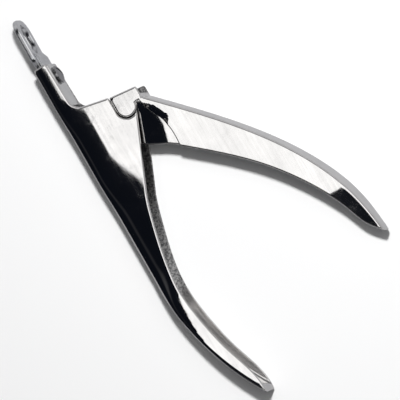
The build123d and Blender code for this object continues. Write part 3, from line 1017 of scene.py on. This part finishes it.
def combined(tree, operation, a, b):
    """Two values, or a value and a number, put together by a maths operation."""
    made = node(tree, "ShaderNodeMath", operation=operation)
    for socket, value in zip(made.inputs, (a, b)):
        if isinstance(value, (int, float)):
            socket.default_value = value
        else:
            tree.links.new(value, socket)
    return made.outputs["Value"]


def mixed(tree, share, a, b):
    """The colour that lies at this share of the way from a to b."""
    made = node(tree, "ShaderNodeMix", data_type="RGBA")
    tree.links.new(share, made.inputs["Factor"])
    for name, value in (("A", a), ("B", b)):
        socket = next(i for i in made.inputs if i.name == name and i.type == "RGBA")
        if isinstance(value, tuple):
            socket.default_value = (*value, 1)
        else:
            tree.links.new(value, socket)
    return next(o for o in made.outputs if o.type == "RGBA")


# Scales of the noise patterns, in features per metre.
MOTTLE_SCALE = 95
SCUFF_SCALE = 330
WEAR_SCALE = 700
GRAIN_SCALE = 900
BLOTCH_SCALE = 1500
SCRATCH_SCALE = 2600
GRAIN_STRETCH = (0.06, 1, 1)
SCRATCH_STRETCH = (0.012, 1, 1)

STREAK_TONE = 0.72
WORN_COLOUR = (0.90, 0.88, 0.85)
WORN_SHARE = 0.35
# Painted shade: dark colour mixed into the inner sides of the channels in place of the shade inside them
INNER_SHADE_COLOUR = (0.16, 0.16, 0.165)
SCUFF_ROUGHNESS = 0.07
WORN_ROUGHNESS = 0.08
INNER_ROUGHNESS = 0.25
RELIEF_STRENGTH = 0.12
RELIEF_DEPTH = 0.00002


def metal(name, light, dark, rough, streak, grain_turn, bump=1.0):
    """Polished plated steel: mottled tone, fine grain along the piece, scuffs, brighter worn rims, and
    painted shade darkening the inner sides.
    """
    made = bpy.data.materials.new(f"{name}_finish")
    made.use_nodes = True
    tree = made.node_tree
    shader = tree.nodes["Principled BSDF"]
    shader.inputs["Metallic"].default_value = 1.0
    place = node(tree, "ShaderNodeTexCoord").outputs["Object"]
    turn = (0, 0, grain_turn)

    mottle = ranged(tree, noise(tree, place, MOTTLE_SCALE, 4.0, 0.6), 0.35, 0.68, 0, 1)
    grain = noise(tree, place, GRAIN_SCALE, 3.0, 0.6, GRAIN_STRETCH, turn)
    scratch = noise(tree, place, SCRATCH_SCALE, 2.0, 0.5, SCRATCH_STRETCH, turn)
    scuff = ranged(tree, noise(tree, place, SCUFF_SCALE, 5.0, 0.65), 0.55, 0.74, 0, 1)
    rim = node(tree, "ShaderNodeAttribute", attribute_name="rim_wear").outputs["Fac"]
    patches = ranged(tree, noise(tree, place, WEAR_SCALE), 0.4, 0.6, 0.2, 1)
    worn = combined(tree, "MULTIPLY", rim, patches)
    inner = node(tree, "ShaderNodeAttribute", attribute_name="inner_side").outputs["Fac"]
    blotch = ranged(tree, noise(tree, place, BLOTCH_SCALE, 3.0, 0.7), 0.42, 0.58, 0.45, 1.0)

    streaked = ranged(tree, grain, 0.3, 0.7, 0, streak)
    colour = mixed(tree, mottle, light, dark)
    colour = mixed(tree, streaked, colour, tuple(c * STREAK_TONE for c in dark))
    colour = mixed(tree, combined(tree, "MULTIPLY", worn, WORN_SHARE), colour, WORN_COLOUR)
    # Painted shade: the inner sides are darkened in blotches where the channel's shade falls
    colour = mixed(tree, combined(tree, "MULTIPLY", inner, blotch), colour, INNER_SHADE_COLOUR)
    tree.links.new(colour, shader.inputs["Base Color"])

    roughness = ranged(tree, grain, 0.3, 0.7, rough * 0.75, rough * 1.3)
    for mask, added in ((scuff, SCUFF_ROUGHNESS), (worn, WORN_ROUGHNESS), (inner, INNER_ROUGHNESS)):
        roughness = combined(tree, "ADD", roughness, combined(tree, "MULTIPLY", mask, added))
    tree.links.new(roughness, shader.inputs["Roughness"])

    height = combined(tree, "MULTIPLY", grain, 0.5)
    for pattern, share in ((scratch, 0.35), (mottle, 0.3)):
        height = combined(tree, "ADD", height, combined(tree, "MULTIPLY", pattern, share))
    relief = node(tree, "ShaderNodeBump")
    relief.inputs["Strength"].default_value = RELIEF_STRENGTH * bump
    relief.inputs["Distance"].default_value = RELIEF_DEPTH
    tree.links.new(height, relief.inputs["Height"])
    tree.links.new(relief.outputs["Normal"], shader.inputs["Normal"])
    return made


LEVER_GRAIN = -math.radians(38)
BLADE_GRAIN = math.pi / 2
# For each material slot: light and dark tone, roughness, strength of the streaks, turn of the grain, bump.
LOOKS = {
    "plated_body": ((0.90, 0.885, 0.87), (0.76, 0.75, 0.74), 0.07, 0.22, 0.0),
    "plated_lever": ((0.90, 0.885, 0.87), (0.77, 0.76, 0.75), 0.08, 0.30, LEVER_GRAIN),
    "ring_steel": ((0.80, 0.81, 0.83), (0.62, 0.63, 0.66), 0.16, 0.3, 0.0, 2.0),
    "cover_steel": ((0.82, 0.82, 0.81), (0.68, 0.68, 0.68), 0.15, 0.3, 0.0),
    "blade_steel": ((0.72, 0.73, 0.75), (0.58, 0.59, 0.61), 0.20, 0.4, BLADE_GRAIN),
    "screw_steel": ((0.42, 0.42, 0.43), (0.26, 0.26, 0.27), 0.18, 0.3, 0.0, 1.5),
    "slide_steel": ((0.60, 0.60, 0.61), (0.45, 0.45, 0.46), 0.28, 0.4, 0.0, 2.0),
    "spring_steel": ((0.66, 0.66, 0.67), (0.48, 0.48, 0.50), 0.22, 0.3, 0.0),
}
finishes = {slot: metal(slot, *look) for slot, look in LOOKS.items()}


def dress(piece, slot):
    """Gives a piece the finish of a slot as its only material."""
    piece.data.materials.clear()
    piece.data.materials.append(finishes[slot])


for piece, body_name, node_name, slot in (
    (body, "body", "fixed_handle", "plated_body"),
    (lever, "lever", "moving_handle", "plated_lever"),
    (ring, "body", "nail_ring", "ring_steel"),
    (cover, "body", "cover_plate", "cover_steel"),
):
    dress(piece, slot)
    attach(piece, body_name)
    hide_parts(node_name)

dress(spring, "spring_steel")
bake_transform(spring)
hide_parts("return_spring")

WELD_REACH = 1e-6
EDGE_WIDTH = 0.00008
EDGE_SEGMENTS = 3
EDGE_ANGLE = math.radians(35)
for node_name, slot in (
    ("blade", "blade_steel"),
    ("blade_screw", "screw_steel"),
    ("cover_screw", "screw_steel"),
    ("lock_washer", "screw_steel"),
    ("screw_post", "screw_steel"),
    ("ring_rivets", "screw_steel"),
    ("spring_stud", "screw_steel"),
    ("blade_slide", "slide_steel"),
    ("drive_pin", "slide_steel"),
):
    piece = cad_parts[node_name]
    dress(piece, slot)
    weld = piece.modifiers.new("weld", "WELD")
    weld.merge_threshold = WELD_REACH
    rounding = piece.modifiers.new("broken_edges", "BEVEL")
    rounding.width = EDGE_WIDTH
    rounding.segments = EDGE_SEGMENTS
    rounding.limit_method = "ANGLE"
    rounding.angle_limit = EDGE_ANGLE
    rounding.harden_normals = True

# ---------------------------------------------------------------- floor, light and camera

PICTURE_RIGHT = Vector((0.5075, 0.8616, 0))
PICTURE_UP = Vector((-0.8616, 0.5075, 0))
TARGET = Vector((36.3, 21.8, 13.0)) * MM
UP = Vector((0, 0, 1))


def toward(elevation, right, up):
    """Unit vector at an elevation in degrees, leaning towards a direction in the picture."""
    flat = (PICTURE_RIGHT * right + PICTURE_UP * up).normalized()
    lift = math.radians(elevation)
    return flat * math.cos(lift) + UP * math.sin(lift)


def facing(location, direction, up):
    """World matrix at a location whose -Z looks along a direction."""
    back = -direction.normalized()
    right = up.cross(back).normalized()
    matrix = Matrix((right, back.cross(right), back)).transposed().to_4x4()
    matrix.translation = location
    return matrix


def area_light(name, size, strength, elevation, right, up, distance_to, reflected):
    """A softbox aimed at the target from some way off; reflections may or may not see it."""
    light = bpy.data.lights.new(name, "AREA")
    light.shape = "RECTANGLE"
    light.size, light.size_y = size
    light.energy = strength
    lamp = bpy.data.objects.new(name, light)
    lamp.visible_glossy = reflected
    bpy.context.scene.collection.objects.link(lamp)
    away = toward(elevation, right, up)
    lamp.matrix_world = facing(TARGET + away * distance_to, -away, PICTURE_UP)
    return lamp


FLOOR_HALF = 1.6
FLOOR_CENTRE = (0.03, 0.02, -0.00002)
FLOOR_TONE = (0.88, 0.88, 0.88)
FLOOR_MIRRORED = (0.40, 0.40, 0.41)     # what the metal sees of the floor
floor_mesh = bpy.data.meshes.new("floor")
floor_corners = [(FLOOR_HALF * x, FLOOR_HALF * y, 0) for x, y in ((-1, -1), (1, -1), (1, 1), (-1, 1))]
floor_mesh.from_pydata(floor_corners, [], [(0, 1, 2, 3)])
floor = bpy.data.objects.new("floor", floor_mesh)
floor.location = FLOOR_CENTRE
bpy.context.scene.collection.objects.link(floor)
paper = bpy.data.materials.new("floor_paper")
paper.use_nodes = True
paper_tree = paper.node_tree
paper_shader = paper_tree.nodes["Principled BSDF"]
mirrored = node(paper_tree, "ShaderNodeLightPath").outputs["Is Glossy Ray"]
tone = mixed(paper_tree, mirrored, FLOOR_TONE, FLOOR_MIRRORED)
paper_tree.links.new(tone, paper_shader.inputs["Base Color"])
paper_shader.inputs["Roughness"].default_value = 0.9
paper_shader.inputs["Specular IOR Level"].default_value = 0.1
floor_mesh.materials.append(paper)

# The key light casts the shadow and isn't reflected; the overhead is what the flat cheeks reflect.
area_light(
    "key", size=(0.05, 0.05), strength=4.8,
    elevation=68, right=0.46, up=0.89, distance_to=0.7, reflected=False,
)
area_light(
    "overhead", size=(1.30, 0.98), strength=4.75,
    elevation=73.1, right=0.668, up=0.744, distance_to=1.2, reflected=True,
)

# The room is dark but for its lower walls, which only reflections see, and not on the side of -Y.
DARK_ROOM = (0.004, 0.005, 0.008)
WALL_TONE = (0.50, 0.50, 0.51)
WALL_FADE = (0.45, 0.75)
DARK_SIDE = (-0.75, -0.55)
world = bpy.data.worlds.new("studio")
world.use_nodes = True
world_tree = world.node_tree
background = world_tree.nodes["Background"]
heading = node(world_tree, "ShaderNodeSeparateXYZ")
world_tree.links.new(node(world_tree, "ShaderNodeTexCoord").outputs["Generated"], heading.inputs["Vector"])
wall = ranged(world_tree, heading.outputs["Z"], *WALL_FADE, 1, 0)
open_side = ranged(world_tree, heading.outputs["Y"], *DARK_SIDE, 0, 1)
wall = combined(world_tree, "MULTIPLY", wall, open_side)
mirrored = node(world_tree, "ShaderNodeLightPath").outputs["Is Glossy Ray"]
wall = combined(world_tree, "MULTIPLY", wall, mirrored)
world_tree.links.new(mixed(world_tree, wall, DARK_ROOM, WALL_TONE), background.inputs["Color"])
background.inputs["Strength"].default_value = 1.0
bpy.context.scene.world = world

CAMERA_LEAN = 13.0
CAMERA_TOWARD = (0.98, 0.19)
CAMERA_AWAY = 1.4
VIEW_WIDTH = 0.1223
SENSOR_WIDTH = 36
camera_data = bpy.data.cameras.new("camera")
camera_data.sensor_width = SENSOR_WIDTH
camera_data.lens = SENSOR_WIDTH * CAMERA_AWAY / VIEW_WIDTH
camera_data.clip_start = 0.01
camera = bpy.data.objects.new("camera", camera_data)
bpy.context.scene.collection.objects.link(camera)
away = toward(90 - CAMERA_LEAN, *CAMERA_TOWARD)
camera.matrix_world = facing(TARGET + away * CAMERA_AWAY, -away, PICTURE_UP)
bpy.context.scene.camera = camera
bpy.context.scene.view_settings.view_transform = "Standard"
